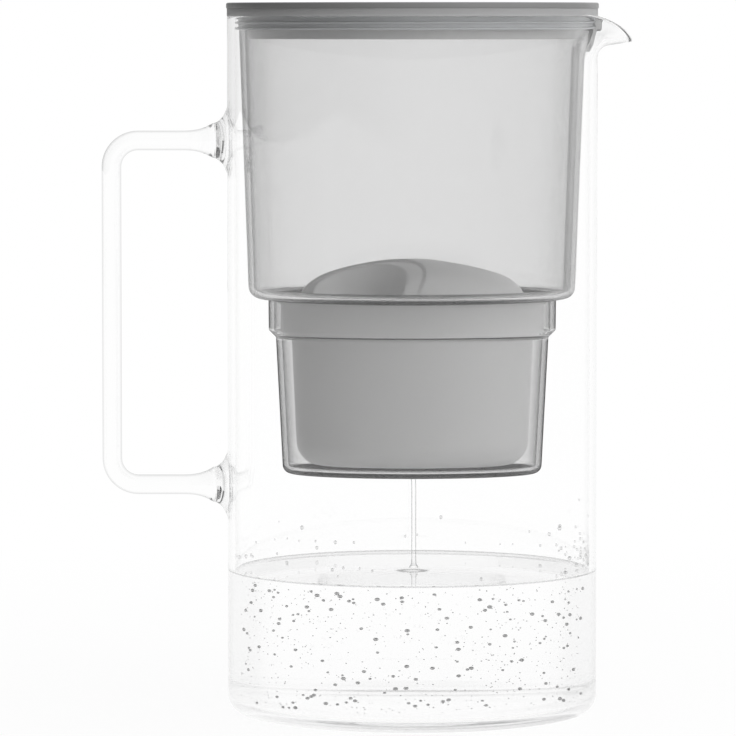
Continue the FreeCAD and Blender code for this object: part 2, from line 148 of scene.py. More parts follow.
def crowded(low, high, count, places, width, crowd):
    """count values from low to high, at equal steps of the running sum of 1 plus a bell curve at each place."""
    fine_steps = 6001
    fine = np.linspace(low, high, fine_steps)
    bells = np.exp(-(((fine[:, None] - np.array(places)) / width) ** 2)).sum(1)
    running = np.cumsum(1 + crowd * bells)
    return np.interp(np.linspace(running[0], running[-1], count), running, fine)


def turns(count):
    """Equal steps of a whole turn, without the last one, which is the first again."""
    return np.linspace(0, FULL_TURN, count + 1)[:-1]


def ovals(half_length, half_width, level, angles):
    """Points of ovals: x = half length times cos a, y = half width times sin a, z = level."""
    x, y = half_length * np.cos(angles), half_width * np.sin(angles)
    return np.stack([x, y, np.broadcast_to(level, x.shape)], -1)


def spun(section, angles):
    """Turns a section of (radius, level) points round the jug's axis."""
    return ovals(section[:, :1], section[:, :1], section[:, 1:], angles)


print("a corner of radius 2 in steps:", rounded([(0, 0), (9, 0), (9, 9)], [2], [0, 0], 2).round(2).tolist())

# %% [markdown]
# Finishes from nodes
#
# Each finish is one shader with its plain numbers on its own sockets, and a noise pattern in Object
# coordinates for what varies over the surface: roughness, a very shallow bump, a little colour. A painted
# picture could do this too, but noise has no seams and keeps its scale on pieces of any size. A few short
# helpers add the nodes, so that a finish reads as a list of what it does.


# %% Add nodes to a finish
def rgba(colour):
    """A solid colour for a socket from a grey or from three parts."""
    return (*np.broadcast_to(colour, 3).tolist(), 1)


def add_node(tree, kind, inputs, output=0, **settings):
    """Adds a node, gives each input a value or the output of another node, and returns one of its outputs."""
    node = tree.nodes.new("ShaderNode" + kind)
    for name, value in settings.items():
        setattr(node, name, value)
    for socket, value in inputs.items():
        if isinstance(value, bpy.types.NodeSocket):
            tree.links.new(value, node.inputs[socket])
        else:
            node.inputs[socket].default_value = value
    return node.outputs[output]


def maths(tree, operation, first, second, **settings):
    """One sum, product or comparison of two values."""
    return add_node(tree, "Math", {0: first, 1: second}, operation=operation, **settings)


def graded(tree, value, low, high, low_result=0.0, high_result=1.0, **settings):
    """Goes from low_result to high_result as a value goes from low to high, and stays there beyond."""
    names = ("Value", "From Min", "From Max", "To Min", "To Max")
    inputs = dict(zip(names, (value, low, high, low_result, high_result)))
    return add_node(tree, "MapRange", inputs, **settings)


def ramp(tree, value, *stops):
    """A colour that follows a value through stops, each a value and its grey or colour, in rising order."""
    colour = add_node(tree, "ValToRGB", {"Fac": value})
    elements = colour.node.color_ramp.elements
    for element, (spot, shade) in zip(elements, (stops[0], stops[-1])):
        element.position, element.color = spot, rgba(shade)
    for spot, shade in stops[1:-1]:
        elements.new(spot).color = rgba(shade)
    return colour


def colour_mix(tree, share, first, second):
    """Two colours mixed by a share; each is an output, a grey or three parts."""
    first, second = (c if isinstance(c, bpy.types.NodeSocket) else rgba(c) for c in (first, second))
    return add_node(tree, "MixRGB", {"Fac": share, "Color1": first, "Color2": second})


def facing(tree):
    """0 where a face is looked at square on, up to 1 where the look goes along it."""
    return add_node(tree, "LayerWeight", {}, "Facing")


def object_place(tree):
    """Where a point lies in the shared frame, in metres."""
    return add_node(tree, "TexCoord", {}, "Object")


def part_of(tree, vector, axis):
    """One part, X, Y or Z, of a vector."""
    return add_node(tree, "SeparateXYZ", {"Vector": vector}, axis)


def matt(tree, colour):
    """A matt shader of one colour, to mix into another."""
    return add_node(tree, "BsdfDiffuse", {"Color": rgba(colour)})


def into_shader(tree, socket, output):
    """Links an output to a socket of the Principled shader."""
    tree.links.new(output, tree.nodes["Principled BSDF"].inputs[socket])


def cover(tree, share, layer):
    """Mixes a shader over the one that has made the surface so far."""
    surface = tree.nodes["Material Output"].inputs["Surface"]
    mix = add_node(tree, "MixShader", {"Fac": share, 1: surface.links[0].from_socket, 2: layer})
    tree.links.new(mix, surface)


# %% Start a finish and add its fine variation
def finish_of(name, colour, roughness, wander=None, rough=None, bump=None, **sockets):
    """A material with one Principled shader; every constant goes straight onto the shader's own socket.

    wander and rough vary the colour and the roughness: a noise's lumps per metre, the least and the most. bump
    is a fine relief: its lumps per metre, its depth in millimetres and its strength.
    """
    material = bpy.data.materials.new(name)
    material.use_nodes = True
    shader = material.node_tree.nodes["Principled BSDF"]
    shader.inputs["Base Color"].default_value = rgba(colour)
    shader.inputs["Roughness"].default_value = roughness
    for socket, value in sockets.items():
        shader.inputs[socket.replace("_", " ")].default_value = value
    if wander:
        vary(material, "Base Color", *wander)
    if rough:
        vary(material, "Roughness", *rough)
    if bump:
        dimple(material, *bump)
    return material


def noise(tree, scale, detail):
    """A noise pattern in Object coordinates; scale counts its lumps per metre."""
    return add_node(tree, "TexNoise", {"Vector": object_place(tree), "Scale": scale, "Detail": detail}, "Fac")


def vary(material, socket, scale, low, high, detail=2.0):
    """Lets a socket wander between low and high, numbers or colours, with a noise of the given scale.

    Noise seldom leaves the range from 0.3 to 0.7, so that range is stretched from low to high.
    """
    tree = material.node_tree
    into_shader(tree, socket, ramp(tree, noise(tree, scale, detail), (0.3, low), (0.7, high)))


def dimple(material, scale, depth, strength=1.0, detail=2.0):
    """A shallow bump of the given depth in millimetres from a noise of the given scale."""
    tree = material.node_tree
    inputs = {"Distance": depth * MM, "Strength": strength, "Height": noise(tree, scale, detail)}
    into_shader(tree, "Normal", add_node(tree, "Bump", inputs))


def let_lamps_through(material, tint=WHITE, most_bounces=12.0):
    """Lets lamplight pass straight through a clear piece, as it does in life, instead of casting a black shadow.

    A shadow ray and a ray from a matt surface meet a Transparent shader of the given tint, and so does light
    that has bounced too often inside the walls, which would otherwise be caught there and end black. Every
    other ray meets the shader that the finish has so far.
    """
    tree = material.node_tree
    path = tree.nodes.new("ShaderNodeLightPath").outputs
    lamp = maths(tree, "MAXIMUM", path["Is Shadow Ray"], path["Is Diffuse Ray"])
    tired = maths(tree, "GREATER_THAN", path["Ray Depth"], most_bounces)
    clear = add_node(tree, "BsdfTransparent", {"Color": rgba(tint)})
    cover(tree, maths(tree, "MAXIMUM", lamp, tired), clear)


def tint_inside(material, grey, density):
    """Darkens light by how far it travels inside the piece: each metre takes density times (1 - grey)."""
    tree = material.node_tree
    soak = add_node(tree, "VolumeAbsorption", {"Color": rgba(grey), "Density": density})
    tree.links.new(soak, tree.nodes["Material Output"].inputs["Volume"])


def dress(piece, material, body, slot, *nodes):
    """Gives a piece its finish, sets it on the body that carries it and hides the solids it stands for."""
    piece.data.materials.clear()
    piece.data.materials.append(material)
    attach(piece, body)
    if nodes:
        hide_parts(*nodes)


# %% [markdown]
# Clear glass
#
# The jug and its handle are borosilicate glass: no colour across a thin wall, and a faint grey where you look
# along the wall. So the surface is left colourless and the grey is put inside, as absorption by the metre.
# Drawn glass is never perfectly even, which a very long, very shallow bump gives. On top of the absorption, painted
# shade greys the colour that the glass lets through where the look goes along a face, for the darker surroundings
# seen there: strongly on the handle's solid rod, and only as a faint grey line at the wall's edge, left off near the
# heel.

# %% Clear glass finish
glass_grey, glass_density = 0.5, 1.5
rod_edge_painted_shade, wall_edge_painted_shade = (0.28, 0.285, 0.285), (0.82, 0.825, 0.825)
wall_face_x, rod_face_x = -67 * MM, -70 * MM
heel_line, clear_of_heel = 8 * MM, 14 * MM
clear_glass = finish_of("clear_glass", WHITE, 0.0, rough=(60.0, 0.0, 0.012), bump=(22.0, 0.35, 0.12),
                        IOR=1.47, Transmission_Weight=1.0)
let_lamps_through(clear_glass)
tint_inside(clear_glass, glass_grey, glass_density)
tree = clear_glass.node_tree
slant, spot = facing(tree), object_place(tree)
# Painted shade: grey where the look goes along a face, dark on the handle's rod, faint on the wall, none at the heel.
on_rod = graded(tree, part_of(tree, spot, "X"), wall_face_x, rod_face_x)
on_wall = graded(tree, part_of(tree, spot, "Z"), heel_line, clear_of_heel)
wall_painted_shade = colour_mix(tree, on_wall, WHITE, ramp(tree, slant, (0.74, WHITE), (0.87, wall_edge_painted_shade)))
rod_painted_shade = ramp(tree, slant, (0.5, WHITE), (0.95, rod_edge_painted_shade))
into_shader(tree, "Base Color", colour_mix(tree, on_rod, wall_painted_shade, rod_painted_shade))
two_walls = 0.005
taken = 1 - float(np.exp(-glass_density * (1 - glass_grey) * two_walls))
print("clear glass takes", round(taken, 3), "of the light in two walls")

# %% [markdown]
# The jug
#
# A glass blower spins the jug as one wall, so it is a profile turned round an axis: out over the base, up the
# outside, over the rim and down the inside. The spout is the one place where the rim is bent: the last
# 18 mm of the wall curl outwards about a level axis, most at the middle of the spout and less to each side,
# and the lip is drawn thinner towards its tip.

# %% Sizes of the jug
jug_radius, jug_wall, jug_height, jug_floor = 66.0, 2.5, 250.0, 5.0
heel_radius, inner_heel_radius = 7.0, 5.0
inside_radius = jug_radius - jug_wall
spout_length, spout_upright, spout_turn, spout_draw, tip_thinning = 18.0, 2.0, 5.75, 3.0, 0.45
spout_half_span, spout_bend = np.radians(32.0), np.radians(82.0)
spout_foot = jug_height - spout_length


def spout_strip(angle, along, outward):
    """The wall's last strip: how far from the axis and how high a point lies.

    The bend's share at an angle is the fourth power of a cosine that is 1 at the spout's middle and 0 at its
    sides. Going along the strip the wall is upright, then turns at a steady rate, then runs straight, drawn
    out longer at the middle. A point off the strip's middle face moves square to it by outward, which shrinks
    towards the tip because the drawn glass is thinner there.
    """
    share = np.cos(np.clip(angle / spout_half_span, -1, 1) * np.pi / 2) ** 4
    bend = np.maximum(spout_bend * share, 1e-6)
    bend_length = spout_turn * spout_bend
    tilt = bend * np.clip(along - spout_upright, 0, bend_length) / bend_length
    lip_length = spout_length - spout_upright - bend_length
    drawn = spout_draw * share**2 - jug_wall / 2 * np.sin(bend)
    lip = np.maximum(along - spout_upright - bend_length, 0) * (1 + drawn / lip_length)
    turn = bend_length / bend
    radius = inside_radius + jug_wall / 2 + turn * (1 - np.cos(tilt)) + lip * np.sin(bend)
    level = spout_foot + np.minimum(along, spout_upright) + turn * np.sin(tilt) + lip * np.cos(bend)
    outward = outward * (1 - tip_thinning * share * along / spout_length)
    return radius + outward * np.cos(tilt), level - outward * np.sin(tilt), tilt, share


# %% The jug's skin
pole_ring, bend_end = 10, 10.2
rim_at = spout_length - jug_wall / 2
spin = crowded(0, FULL_TURN, 241, (0, FULL_TURN), 0.35, 2.0)[:-1]
wrapped = (spin + np.pi) % FULL_TURN - np.pi
base = rounded([(pole_ring, 0), (jug_radius, 0), (jug_radius, 12)], [heel_radius], [5, 0], 12)
wall_levels = np.linspace(13, spout_foot - 0.5, 60)
wall = np.stack([np.full_like(wall_levels, jug_radius), wall_levels], -1)
outside = spun(np.concatenate([base, wall]), spin)
along = np.concatenate([np.linspace(0, spout_upright, 3), np.linspace(spout_upright, bend_end, 13)[1:],
                        np.linspace(bend_end, rim_at, 9)[1:]])[:, None]


def strip_rings(outward, steps):
    """Rings of the spout strip at the given steps, on its outer or inner face."""
    radius, level = spout_strip(wrapped, steps, outward)[:2]
    return ovals(radius, radius, level, spin)


nose = np.linspace(0, np.pi, 9)[1:-1, None]
rim_radius, rim_level, rim_tilt, rim_share = spout_strip(wrapped, np.full((1, 1), rim_at), 0.0)
rim_half = jug_wall / 2 * (1 - tip_thinning * rim_share * rim_at / spout_length)
nose_radius = rim_radius + rim_half * (np.cos(nose) * np.cos(rim_tilt) + np.sin(nose) * np.sin(rim_tilt))
nose_level = rim_level + rim_half * (np.sin(nose) * np.cos(rim_tilt) - np.cos(nose) * np.sin(rim_tilt))
rim = ovals(nose_radius, nose_radius, nose_level, spin)

inner = rounded([(inside_radius, spout_foot - 4), (inside_radius, jug_floor), (pole_ring, jug_floor)],
                [inner_heel_radius], [40, 5], 12)
jug_rings = np.concatenate([outside, strip_rings(jug_wall / 2, along), rim,
                            strip_rings(-jug_wall / 2, along[::-1]), spun(inner, spin)])
jug = skin("jug_glass", jug_rings, low_pole=(0, 0, 0), high_pole=(0, 0, jug_floor))

# %% [markdown]
# The handle
#
# The handle is a glass rod, oval in section, bent twice and flared at both ends, where it was pressed hot onto two
# bosses drawn out of the jug's wall. A curve with a bevel could follow the path, but it can't flare to another
# oval, so the oval is carried along the path here with its two half sizes as functions of the distance from
# the weld. Each end goes a little into the wall, and a Boolean union then fuses the handle with the jug, so that
# light meets no face inside the joint. A slight pinch at the weld leaves the ring that shows there.

# %% The path of the rod between the welds
grip_x, bend_radius, flare_length, top_level, low_level = -107.3, 9.5, 12.5, 205.0, 82.0
weld_x, arm_start, arm_crowding = -70.3, 0.02, 1.5
arm_end = grip_x + bend_radius
quarter = np.linspace(0, np.pi / 2, 15)[1:-1]
arm_x = weld_x + (arm_end - weld_x) * np.linspace(arm_start, 1, 40) ** arm_crowding
top_arm = np.stack([arm_x, np.full_like(arm_x, top_level)], -1)
top_bend = np.stack([arm_end - bend_radius * np.sin(quarter),
                     top_level - bend_radius + bend_radius * np.cos(quarter)], -1)
grip_z = np.linspace(top_level - bend_radius, low_level + bend_radius, 30)
grip = np.stack([np.full_like(grip_z, grip_x), grip_z], -1)
low_bend = np.stack([arm_end - bend_radius * np.cos(quarter),
                     low_level + bend_radius - bend_radius * np.sin(quarter)], -1)
low_arm = np.stack([arm_x[::-1], np.full_like(arm_x, low_level)], -1)
path = np.concatenate([top_arm, top_bend, grip, low_bend, low_arm])
print("handle path:", len(path), "points")

# %% The rod's ovals
rod_half_thick, rod_half_wide = 3.5, 5.5
weld_half_width, weld_half_height = 7.0, 6.9
pinch_share, pinch_width, far_from_weld, flare_power = 0.07, 0.7, 99, 2.8


def pinch(distance):
    """How much an oval shrinks near the weld: seven per cent at it, gone a millimetre away."""
    return 1 - pinch_share * np.exp(-((distance / pinch_width) ** 2))


heading = np.gradient(path, axis=0)
heading /= np.linalg.norm(heading, axis=1, keepdims=True)
sideways = np.stack([-heading[:, 1], heading[:, 0]], -1)
on_arm = np.abs(path[:, 1] - (top_level + low_level) / 2) > (top_level - low_level) / 2 - 0.5
from_weld = np.where(on_arm, weld_x - path[:, 0], far_from_weld)
flare = np.clip(1 - from_weld / flare_length, 0, 1) ** flare_power
half_thick = (rod_half_thick + (weld_half_height - rod_half_thick) * flare) * pinch(from_weld)
half_wide = (rod_half_wide + (weld_half_width - rod_half_wide) * flare) * pinch(from_weld)
turn = turns(64)
across = half_thick[:, None] * np.cos(turn)
rod_rings = np.stack([path[:, :1] + sideways[:, :1] * across, half_wide[:, None] * np.sin(turn),
                      path[:, 1:] + sideways[:, 1:] * across], -1)

# %% The bosses and the handle's skin
boss_half_width, boss_half_height, boss_depth, boss_power = 11.0, 15.5, 4.3, 2.4
into_wall = jug_radius - 1.0


def boss_rings(level, upward):
    """From the middle of the joint out along the wall's curve, then in along the boss to the weld.

    The boss's ovals grow with a power of the depth, and its depth is measured from the weld's plane to the
    wall's round face, so the last oval lies on the wall all the way round.
    """
    spread = np.linspace(0.1, 1, 7)[:-1, None]
    depth = np.linspace(1, 0, 30)[:, None]

    def half_sizes(weld_half, boss_half):
        """One half size of the ovals: spreading over the wall, then shrinking from the boss to the weld."""
        shrinking = (weld_half + (boss_half - weld_half) * depth**boss_power) * pinch(depth * boss_depth)
        return np.concatenate([spread * boss_half, shrinking])

    y = half_sizes(weld_half_width, boss_half_width) * np.sin(turn)
    share = np.concatenate([np.ones_like(spread), depth])
    x = (1 - share) * weld_x - share * np.sqrt(into_wall**2 - y**2)
    return np.stack([x, y, level + upward * half_sizes(weld_half_height, boss_half_height) * np.cos(turn)], -1)


def boolean(piece, operation, other, sharp):
    """Adds another piece to a piece or takes it out, keeps the new mesh and removes the other piece."""
    change = piece.modifiers.new(operation, "BOOLEAN")
    change.operation, change.solver, change.object = operation, "EXACT", other
    bpy.context.view_layer.update()
    changed = bpy.data.meshes.new_from_object(piece.evaluated_get(bpy.context.evaluated_depsgraph_get()))
    piece.modifiers.clear()
    piece.data = changed
    bpy.data.objects.remove(other)
    smooth(piece, sharp)
    print(f"{piece.name}: {len(changed.polygons)} faces after the {operation.lower()}")


handle_rings = np.concatenate([boss_rings(top_level, -1), rod_rings, boss_rings(low_level, 1)[::-1]])
handle = skin("handle_glass", handle_rings, low_pole=(-into_wall, 0, top_level),
              high_pole=(-into_wall, 0, low_level), sharp=60)
boolean(jug, "UNION", handle, 35)
dress(jug, clear_glass, "jug", "clear_glass", "glass_jug", "glass_handle")

# %% [markdown]
# Tinted clear plastic
#
# The hopper is moulded from a clear plastic with a grey dye through it. Two walls of it let about two thirds
# of the light through, and an edge seen along the wall is much darker, so the grey is again inside the
# material: 2 mm has to take about 17 per cent. Beyond that, painted shade mixes a near-black matt in where the
# look goes along a face, and where light leaves a wall so slantwise that most of it is thrown back, for the dark
# surroundings and the lid's shaded underside seen through those edges; it draws the dark lines at the hopper's
# sides. The socket's ends curve tightly, so there the painted shade is three times as strong, and on the step half
# way down, which passes light along its own floor, it is next to nothing. The flange, which the lid rests on, is
# left satin by the mould, so above its underside a matt grey is mixed in.

# %% Tinted plastic finish
plastic_ior, dye_grey, dye_density, edge_painted_shade_grey = 1.49, 0.08, 95.0, 0.012
satin_grey, satin_share, satin_low, satin_high = (0.42, 0.42, 0.422), 0.6, 248.6, 248.8
edge_shade_stops = ((0.3, 0.0), (0.4, 0.012), (0.46, 0.033), (0.55, 0.08), (0.66, 0.115), (0.83, 0.3), (0.9, 0.48),
              (0.95, 0.62), (0.985, 0.8), (1.0, 0.97))
thrown_back_shade_stops = ((0.3, 0.0), (0.45, 0.5), (0.95, 0.5), (1.0, 0.0))
socket_shade_gain, zone_low, zone_span = 3.0, 80, 80
shade_zone_marks = ((80, 1.0), (134.2, 1.0), (134.6, 0.05), (138.0, 0.05), (138.4, 1.0), (148.6, 1.0), (148.9, 0.333),
              (160, 0.333))
tinted_plastic = finish_of("tinted_plastic", WHITE, 0.02, rough=(90.0, 0.0, 0.03), bump=(35.0, 0.2, 0.1),
                           IOR=plastic_ior, Transmission_Weight=1.0)
tint_inside(tinted_plastic, dye_grey, dye_density)
tree = tinted_plastic.node_tree
height = part_of(tree, object_place(tree), "Z")
in_zones = graded(tree, height, zone_low * MM, (zone_low + zone_span) * MM)
zone = ramp(tree, in_zones, *(((mark - zone_low) / zone_span, share) for mark, share in shade_zone_marks))
# Painted shade: a near-black matt mixed in along faces seen edge-on and at slantwise exits, stronger on the socket's
# ends, weak on its step.
along_face_painted_shade = maths(tree, "MULTIPLY", ramp(tree, facing(tree), *edge_shade_stops), zone)
along_face_painted_shade = maths(tree, "MULTIPLY", along_face_painted_shade, socket_shade_gain, use_clamp=True)
thrown_back_painted_shade = ramp(tree, add_node(tree, "Fresnel", {"IOR": plastic_ior}), *thrown_back_shade_stops)
cover(tree, maths(tree, "MAXIMUM", along_face_painted_shade, thrown_back_painted_shade), matt(tree, edge_painted_shade_grey))
let_lamps_through(tinted_plastic)
cover(tree, graded(tree, height, satin_low * MM, satin_high * MM, 0.0, satin_share), matt(tree, satin_grey))
one_wall = 0.002
print("tinted plastic lets through", round(float(np.exp(-dye_density * (1 - dye_grey) * one_wall)), 3), "per wall")

# %% [markdown]
# The hopper and its socket
#
# One moulding goes from a round flange through a tapered round hopper to an oval socket. Cut lengthwise and
# cut crosswise it has two different sections with the same corners, so the surface is worked out from both:
# a point at angle a takes its x from the lengthwise section, its y from the crosswise one, and its level
# from a mix of the two. A shallow groove runs down the +X side, where water is poured out past the hopper.

# %% Two sections
flange_radius, flange_low, flange_top = 66.05, 250.0, 252.0
collar_radius, collar_low = 61.7, 243.6
hopper_low, funnel_wall = 149.0, 2.0
draft, mouth_draft = np.tan(np.radians(2.05)), np.tan(np.radians(0.6))
mouth_length, mouth_width = 49.4, 30.6
shaft_top, shaft_foot, socket_low = 46.7, 44.2, 86.2
ledge, step_high, step_low = 136.2, 137.5, 134.9
floor_ring = 6.0


def funnel_section(wall, share):
    """Corners of the outer or inner face in one direction, from the flange to the middle of the socket's floor."""
    inset = 0 if wall else funnel_wall
    low, bottom, collar = hopper_low + inset, socket_low + inset, collar_radius - inset
    foot = collar - draft * (collar_low - low)
    lip_low, lip_under = (step_high, step_low) if wall else (ledge, ledge)
    wide = (mouth_length + wall) * share
    corners = [(collar, flange_low if wall else flange_top), (collar, collar_low), (foot, low), (wide, low),
               (wide - mouth_draft * (low - lip_low) * share, lip_low), ((shaft_top + wall) * share, lip_under),
               ((shaft_foot + wall) * share, bottom), (floor_ring * share, bottom)]
    radii = [3.0, 4.3, 1.0, 1.2, 1.0, 3.0] if wall else [3.0, 2.3, 1.4, 0.6, 0.6, 1.4]
    return rounded(corners, radii, [2, 60, 8, 8, 1, 30, 10], 7)


def oval(lengthwise, crosswise, angles):
    """x from the lengthwise section, y from the crosswise one, level mixed by the squares of cosine and sine."""
    level = lengthwise[:, 1, None] * np.cos(angles) ** 2 + crosswise[:, 1, None] * np.sin(angles) ** 2
    return ovals(lengthwise[:, :1], crosswise[:, :1], level, angles)


# %% The groove
groove_depth, groove_wall, groove_top, groove_fade = 1.5, 0.9, 240.0, 6
groove_half_width, floor_bow, side_bow, groove_soft = 9, 260, 6, 0.5


def low_blend(a, b, soft):
    """A minimum of two heights whose crease is rounded over about the soft distance."""
    return (a + b - np.sqrt((a - b) ** 2 + soft**2)) / 2


def eased(share):
    """A share from 0 to 1 that starts and ends gently: 3 s squared less 2 s cubed."""
    return share * share * (3 - 2 * share)


def with_groove(rings, deeper):
    """Presses the groove into the +X side: x stays below a wide, shallow trough.

    The trough's floor rises with the square of y over the floor's bow, and beyond the groove's half width to each
    side faster, over the side's bow. It starts at the groove's depth inside the hopper's outer face, or deeper
    for the inner face, and fades out over the last few millimetres below the collar. A smooth minimum rounds the
    groove's edges.
    """
    x, y, z = np.moveaxis(rings, -1, 0)
    face = collar_radius - draft * np.clip(collar_low - z, 0, None)
    fade = eased(np.clip((groove_top - z) / groove_fade, 0, 1))
    aside = np.clip(np.abs(y) - groove_half_width, 0, None)
    trough = face - groove_depth - deeper + y**2 / floor_bow + aside**2 / side_bow
    pressed = np.minimum(x, low_blend(x, trough, groove_soft))
    pressed = np.where((x > 0) & (z > hopper_low - 0.01), pressed, x)
    return np.stack([x + (pressed - x) * fade, y, z], -1)


# %% The hopper's skin
funnel_spin = crowded(0, FULL_TURN, 217, (0, FULL_TURN), 0.22, 3.0)[:-1]
faces = []
for wall in (0, funnel_wall):
    crosswise_share = (mouth_width + wall) / (mouth_length + wall)
    faces.append(oval(funnel_section(wall, 1.0), funnel_section(wall, crosswise_share), funnel_spin))
inner_face, outer_face = faces
flange = rounded([(collar_radius - funnel_wall + 0.6, flange_top), (flange_radius, flange_top),
                  (flange_radius, flange_low - 1.1), (flange_radius - 0.1, flange_low - 0.75),
                  (flange_radius - 0.45, flange_low - 0.15), (flange_radius - 1.2, flange_low),
                  (collar_radius + 0.3, flange_low)], [0.12, 0.05, 0.1, 0.1, 0.1], [3, 0, 0, 0, 0, 3], 6)
funnel_rings = np.concatenate([with_groove(inner_face, groove_wall)[::-1],
                               spun(flange, funnel_spin), with_groove(outer_face, 0.0)[1:]])
outlet_x, outlet_length, outlet_width = [-2.0, 6.6, 15.2, 23.8], 16.0, 4.0
funnel = skin("hopper_and_socket", funnel_rings, low_pole=(outlet_x[0], 0, socket_low + funnel_wall),
              high_pole=(outlet_x[0], 0, socket_low))

# %% [markdown]
# Holes in a skin
#
# Water leaves the socket through four slots in its floor, and enters the cartridge through a ring of slots in
# its cap. A grid can't have a hole in the middle, so the slots are cut afterwards with a Boolean: all the
# cutters of a piece are joined in one mesh, and the result replaces the piece's mesh.


# %% Cut rounded slots
def slot_cutters(middles, angles, length, width, low, high):
    """Upright bars with round ends: the outline is a stretched circle, |x|^6 + |y|^6 = 1, turned and moved."""
    sides = 24
    c, s = np.cos(turns(sides)), np.sin(turns(sides))
    lengthen = (np.abs(c) ** 6 + np.abs(s) ** 6) ** (-1 / 6)
    x, y = length / 2 * c * lengthen, width / 2 * s * lengthen
    middles, angles = np.array(middles, float), np.array(angles, float)[:, None]
    bar_x = middles[:, :1] + x * np.cos(angles) - y * np.sin(angles)
    bar_y = middles[:, 1:] + x * np.sin(angles) + y * np.cos(angles)
    ring = np.stack([np.stack([bar_x, bar_y, np.full_like(bar_x, level)], -1) for level in (low, high)], 1)
    start = np.arange(len(middles))[:, None] * 2 * sides
    i = np.arange(sides)
    walls = np.stack([i, (i + 1) % sides, (i + 1) % sides + sides, i + sides], -1)[None] + start[..., None]
    ends = (start + i[::-1]).tolist() + (start + i + sides).tolist()
    return new_piece("cutters", ring.reshape(-1, 3), walls.reshape(-1, 4).tolist() + ends)


def crosswise_slots(places, length, width, low, high):
    """Cutters for a row of slots along X, each lying across it."""
    return slot_cutters([(x, 0) for x in places], [np.pi / 2] * len(places), length, width, low, high)


outlets = crosswise_slots(outlet_x, outlet_length, outlet_width, socket_low - 1, socket_low + 3)
boolean(funnel, "DIFFERENCE", outlets, 35)
dress(funnel, tinted_plastic, "funnel_body", "tinted_plastic", "funnel")

# %% [markdown]
# The key and the seal
#
# Under the flange a soft ring with three lips keeps the hopper tight in the glass, and a small tongue at +X
# finds the spout, so the hopper always goes in the same way round. The ring is a comb-shaped section carried
# round the collar and stopped at each side of the tongue.

# %% The spout key
key_outline = np.array([(61.8, 249.9), (65.2, 249.9), (65.7, 249.4), (65.7, 244.1), (65.2, 243.6), (63.6, 243.5),
                        (62.0, 236.2), (61.75, 236.2), (61.75, 243.6)])
key_x, key_z, key_half_width = 62.8, 245.5, 6.0
key_y = np.array([-key_half_width, -5.7, 5.7, key_half_width])
key_shrink = np.array([0.95, 1.0, 1.0, 0.95])
key_middle = np.array([key_x, key_z])
key_section = key_middle + (key_outline - key_middle) * key_shrink[:, None, None]
key_rings = np.stack([key_section[..., 0], np.broadcast_to(key_y[:, None], key_section.shape[:2]),
                      key_section[..., 1]], -1)
key = skin("spout_key", key_rings, low_pole=(key_x, -key_half_width, key_z),
           high_pole=(key_x, key_half_width, key_z), sharp=30)
dress(key, tinted_plastic, "funnel_body", "tinted_plastic")

# %% The lipped seal
seal_silicone = finish_of("seal_silicone", (0.42, 0.43, 0.44), 0.45, rough=(400.0, 0.38, 0.52),
                          bump=(900.0, 0.05, 0.2), Transmission_Weight=0.35, IOR=1.41)
let_lamps_through(seal_silicone, 0.5)
seal_inside, seal_root, seal_low, seal_top, lip_pitch = 61.75, 62.0, 244.4, 249.9, 2.05
lip_outline = np.array([(seal_root, 0.0), (63.0, 0.1), (63.2, 0.35), (63.1, 0.75), (seal_root, 0.95)])
lip_low = np.stack([np.zeros(3), seal_low + np.arange(3) * lip_pitch], -1)
lips = (lip_low[:, None] + lip_outline).reshape(-1, 2)
comb = np.concatenate([[(seal_inside, seal_low)], lips, [(seal_root, seal_top), (seal_inside, seal_top)]])
gap = 6.2 / collar_radius
end_radius, end_level = 61.85, 247.2
ring_spin = np.linspace(gap, FULL_TURN - gap, 181)
ends = [(end_radius * np.cos(a), end_radius * np.sin(a), end_level) for a in (gap, -gap)]
seal = skin("lipped_seal", np.moveaxis(spun(comb, ring_spin), 0, 1), low_pole=ends[0], high_pole=ends[1], sharp=50)
dress(seal, seal_silicone, "funnel_body", "seal_silicone", "funnel_seal")

# %% [markdown]
# The lid
#
# The lid is an opaque grey plate with a ring under it that drops inside the hopper. The plate has a round hole
# off its middle for the filter change indicator, so it is worked out as a mix of two circles: the hole's and
# the plate's edge. The grey plastic has a fine satin texture from the mould. The ring is the same plastic, but its
# finish is a lighter copy, painted light for the shade it hangs in behind the hopper's wall.

# %% Lid plastic
lid_plastic = finish_of("lid_plastic", 0.158, 0.45, (14.0, 0.15, 0.166), (220.0, 0.34, 0.46),
                        (2600.0, 0.03, 0.12), Specular_IOR_Level=0.25)
# Painted light: the ring's finish is the lid plastic made lighter, for the shade inside the hopper.
ring_painted_lighter = finish_of("lid_ring_painted_lighter", 0.395, 0.45, (14.0, 0.385, 0.405), (220.0, 0.34, 0.46),
                         Specular_IOR_Level=0.25)
print("lid finishes:", lid_plastic.name, ring_painted_lighter.name)

# %% The lid's plate
lid_radius, lid_low, lid_top, hole_x, hole_radius, edge_width = 66.3, 252.0, 254.0, -36.0, 11.0, 3
between = np.array([0.12, 0.3, 0.5, 0.7, 0.9])
edge_start = lid_radius - edge_width
edge = rounded([(edge_start, lid_top), (lid_radius, lid_top), (lid_radius, lid_low), (edge_start, lid_low)],
               [0.7, 0.1], [0, 0, 0], 6)
hole_edge = rounded([(-2, lid_low), (0, lid_low), (0, lid_top), (-2, lid_top)], [0.2, 0.35], [0, 0, 0], 4)


def plate_rows(share, growth, radius, level):
    """Rows of the plate: the edge's share in the mix, how far the hole has grown, the edge's radius, the level."""
    return np.stack(np.broadcast_arrays(share, growth, radius, level), -1)


